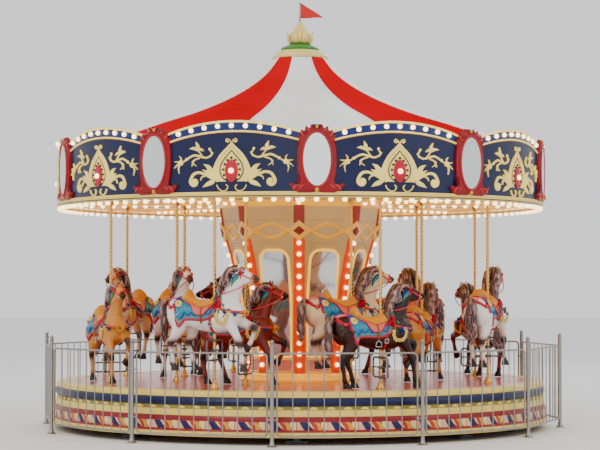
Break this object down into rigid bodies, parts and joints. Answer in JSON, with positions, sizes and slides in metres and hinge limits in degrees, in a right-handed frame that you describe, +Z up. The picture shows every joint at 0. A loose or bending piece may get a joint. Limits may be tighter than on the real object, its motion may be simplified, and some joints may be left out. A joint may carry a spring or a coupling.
{
  "type": "merry-go-round",
  "caption": "Fairground merry-go-round: horses on brass poles driven by overhead cranks, under a mirrored crown and a red and white canopy, inside a steel safety fence.",
  "frame": {"origin": "centre of the base where the mast axis meets the ground", "axes": "+Z up along the mast, -Y towards the front of the ride, +X the way the front horses travel"},
  "size_m": [6.4882, 6.4882, 5.27],
  "materials": {
    "base_steel": "painted, dark grey",
    "mast_steel": "painted, mid grey",
    "gear_steel": "machined, oiled",
    "motor_paint": "painted, satin",
    "fence_steel": "satin stainless",
    "frame_paint": "painted, satin",
    "deck_pink": "glossy dusty pink",
    "skirt_navy": "glossy, banded navy, cream and red",
    "casing_cream": "glossy tan with gold trim, mirrors and lit strips",
    "ceiling_gold": "satin gold",
    "crown_navy": "glossy navy with cream ornament",
    "canopy_red": "glossy red and white gores",
    "cap_cream": "satin cream and green",
    "finial_cream": "satin cream",
    "pennant_red": "woven red cloth",
    "pole_brass": "polished, twisted",
    "coat_palomino": "glossy palomino",
    "coat_white": "glossy white",
    "coat_black": "glossy black-brown",
    "coat_chestnut": "glossy red-brown",
    "coat_cream": "glossy cream"
  },
  "bodies": {
    "root": {"base_frame": "base_steel", "centre_mast": "mast_steel", "crown_gear": "gear_steel", "drive_motor": "motor_paint", "fence_right": "fence_steel", "fence_left": "fence_steel"},
    "turntable": {"slew_gear": "gear_steel", "platform_frame": "frame_paint", "platform_deck": "deck_pink", "platform_skirt": "skirt_navy", "column_casing": "casing_cream", "ceiling_panels": "ceiling_gold", "sweep_frame": "frame_paint", "rounding_boards": "crown_navy", "canopy": "canopy_red", "canopy_cap": "cap_cream", "finial": "finial_cream", "pennant": "pennant_red"},
    "drive_pinion": {"drive_pinion": "gear_steel"},
    "gate": {"fence_gate": "fence_steel"},
    "crank_1": {"crankshaft_1": "gear_steel"},
    "crank_2": {"crankshaft_2": "gear_steel"},
    "crank_3": {"crankshaft_3": "gear_steel"},
    "crank_4": {"crankshaft_4": "gear_steel"},
    "crank_5": {"crankshaft_5": "gear_steel"},
    "crank_6": {"crankshaft_6": "gear_steel"},
    "crank_7": {"crankshaft_7": "gear_steel"},
    "crank_8": {"crankshaft_8": "gear_steel"},
    "outer_horse_1": {"horse_outer_1": "coat_black", "pole_outer_1": "pole_brass"},
    "outer_horse_2": {"horse_outer_2": "coat_white", "pole_outer_2": "pole_brass"},
    "outer_horse_3": {"horse_outer_3": "coat_chestnut", "pole_outer_3": "pole_brass"},
    "outer_horse_4": {"horse_outer_4": "coat_cream", "pole_outer_4": "pole_brass"},
    "outer_horse_5": {"horse_outer_5": "coat_black", "pole_outer_5": "pole_brass"},
    "outer_horse_6": {"horse_outer_6": "coat_cream", "pole_outer_6": "pole_brass"},
    "outer_horse_7": {"horse_outer_7": "coat_palomino", "pole_outer_7": "pole_brass"},
    "outer_horse_8": {"horse_outer_8": "coat_white", "pole_outer_8": "pole_brass"},
    "inner_horse_1": {"horse_inner_1": "coat_cream", "pole_inner_1": "pole_brass"},
    "inner_horse_2": {"horse_inner_2": "coat_palomino", "pole_inner_2": "pole_brass"},
    "inner_horse_3": {"horse_inner_3": "coat_white", "pole_inner_3": "pole_brass"},
    "inner_horse_4": {"horse_inner_4": "coat_chestnut", "pole_inner_4": "pole_brass"},
    "inner_horse_5": {"horse_inner_5": "coat_palomino", "pole_inner_5": "pole_brass"},
    "inner_horse_6": {"horse_inner_6": "coat_cream", "pole_inner_6": "pole_brass"},
    "inner_horse_7": {"horse_inner_7": "coat_white", "pole_inner_7": "pole_brass"},
    "inner_horse_8": {"horse_inner_8": "coat_chestnut", "pole_inner_8": "pole_brass"}
  },
  "joints": [
    {"name": "turntable_spin", "type": "hinge", "parent": "root", "child": "turntable", "pos_m": [0, 0, 0.3], "axis": [0, 0, 1], "continuous": true},
    {"name": "drive_pinion_spin", "type": "hinge", "parent": "root", "child": "drive_pinion", "pos_m": [0.22961, -0.55433, 0.33], "axis": [0, 0, 1], "continuous": true},
    {"name": "gate_hinge", "type": "hinge", "parent": "root", "child": "gate", "pos_m": [0.21793, 3.18119, 0.55], "axis": [0, 0, -1], "range_deg": [0, 100]},
    {"name": "crank_1_spin", "type": "hinge", "parent": "turntable", "child": "crank_1", "pos_m": [0.38268, -0.92388, 3.12], "axis": [0.3827, -0.9239, 0], "continuous": true},
    {"name": "crank_2_spin", "type": "hinge", "parent": "turntable", "child": "crank_2", "pos_m": [0.92388, -0.38268, 3.12], "axis": [0.9239, -0.3827, 0], "continuous": true},
    {"name": "crank_3_spin", "type": "hinge", "parent": "turntable", "child": "crank_3", "pos_m": [0.92388, 0.38268, 3.12], "axis": [0.9239, 0.3827, 0], "continuous": true},
    {"name": "crank_4_spin", "type": "hinge", "parent": "turntable", "child": "crank_4", "pos_m": [0.38268, 0.92388, 3.12], "axis": [0.3827, 0.9239, 0], "continuous": true},
    {"name": "crank_5_spin", "type": "hinge", "parent": "turntable", "child": "crank_5", "pos_m": [-0.38268, 0.92388, 3.12], "axis": [-0.3827, 0.9239, 0], "continuous": true},
    {"name": "crank_6_spin", "type": "hinge", "parent": "turntable", "child": "crank_6", "pos_m": [-0.92388, 0.38268, 3.12], "axis": [-0.9239, 0.3827, 0], "continuous": true},
    {"name": "crank_7_spin", "type": "hinge", "parent": "turntable", "child": "crank_7", "pos_m": [-0.92388, -0.38268, 3.12], "axis": [-0.9239, -0.3827, 0], "continuous": true},
    {"name": "crank_8_spin", "type": "hinge", "parent": "turntable", "child": "crank_8", "pos_m": [-0.38268, -0.92388, 3.12], "axis": [-0.3827, -0.9239, 0], "continuous": true},
    {"name": "outer_lift_1", "type": "slide", "parent": "turntable", "child": "outer_horse_1", "axis": [0, 0, 1], "range_m": [0, 0.19]},
    {"name": "outer_lift_2", "type": "slide", "parent": "turntable", "child": "outer_horse_2", "axis": [0, 0, 1], "range_m": [-0.19, 0]},
    {"name": "outer_lift_3", "type": "slide", "parent": "turntable", "child": "outer_horse_3", "axis": [0, 0, 1], "range_m": [0, 0.19]},
    {"name": "outer_lift_4", "type": "slide", "parent": "turntable", "child": "outer_horse_4", "axis": [0, 0, 1], "range_m": [-0.19, 0]},
    {"name": "outer_lift_5", "type": "slide", "parent": "turntable", "child": "outer_horse_5", "axis": [0, 0, 1], "range_m": [0, 0.19]},
    {"name": "outer_lift_6", "type": "slide", "parent": "turntable", "child": "outer_horse_6", "axis": [0, 0, 1], "range_m": [-0.19, 0]},
    {"name": "outer_lift_7", "type": "slide", "parent": "turntable", "child": "outer_horse_7", "axis": [0, 0, 1], "range_m": [0, 0.19]},
    {"name": "outer_lift_8", "type": "slide", "parent": "turntable", "child": "outer_horse_8", "axis": [0, 0, 1], "range_m": [-0.19, 0]},
    {"name": "inner_lift_1", "type": "slide", "parent": "turntable", "child": "inner_horse_1", "axis": [0, 0, 1], "range_m": [-0.19, 0]},
    {"name": "inner_lift_2", "type": "slide", "parent": "turntable", "child": "inner_horse_2", "axis": [0, 0, 1], "range_m": [0, 0.19]},
    {"name": "inner_lift_3", "type": "slide", "parent": "turntable", "child": "inner_horse_3", "axis": [0, 0, 1], "range_m": [-0.19, 0]},
    {"name": "inner_lift_4", "type": "slide", "parent": "turntable", "child": "inner_horse_4", "axis": [0, 0, 1], "range_m": [0, 0.19]},
    {"name": "inner_lift_5", "type": "slide", "parent": "turntable", "child": "inner_horse_5", "axis": [0, 0, 1], "range_m": [-0.19, 0]},
    {"name": "inner_lift_6", "type": "slide", "parent": "turntable", "child": "inner_horse_6", "axis": [0, 0, 1], "range_m": [0, 0.19]},
    {"name": "inner_lift_7", "type": "slide", "parent": "turntable", "child": "inner_horse_7", "axis": [0, 0, 1], "range_m": [-0.19, 0]},
    {"name": "inner_lift_8", "type": "slide", "parent": "turntable", "child": "inner_horse_8", "axis": [0, 0, 1], "range_m": [0, 0.19]}
  ],
  "couplings": [
    {"joint": "drive_pinion_spin", "follows": "turntable_spin", "ratio": -5},
    {"joint": "crank_1_spin", "follows": "turntable_spin", "ratio": -4},
    {"joint": "crank_2_spin", "follows": "turntable_spin", "ratio": -4},
    {"joint": "crank_3_spin", "follows": "turntable_spin", "ratio": -4},
    {"joint": "crank_4_spin", "follows": "turntable_spin", "ratio": -4},
    {"joint": "crank_5_spin", "follows": "turntable_spin", "ratio": -4},
    {"joint": "crank_6_spin", "follows": "turntable_spin", "ratio": -4},
    {"joint": "crank_7_spin", "follows": "turntable_spin", "ratio": -4},
    {"joint": "crank_8_spin", "follows": "turntable_spin", "ratio": -4}
  ]
}
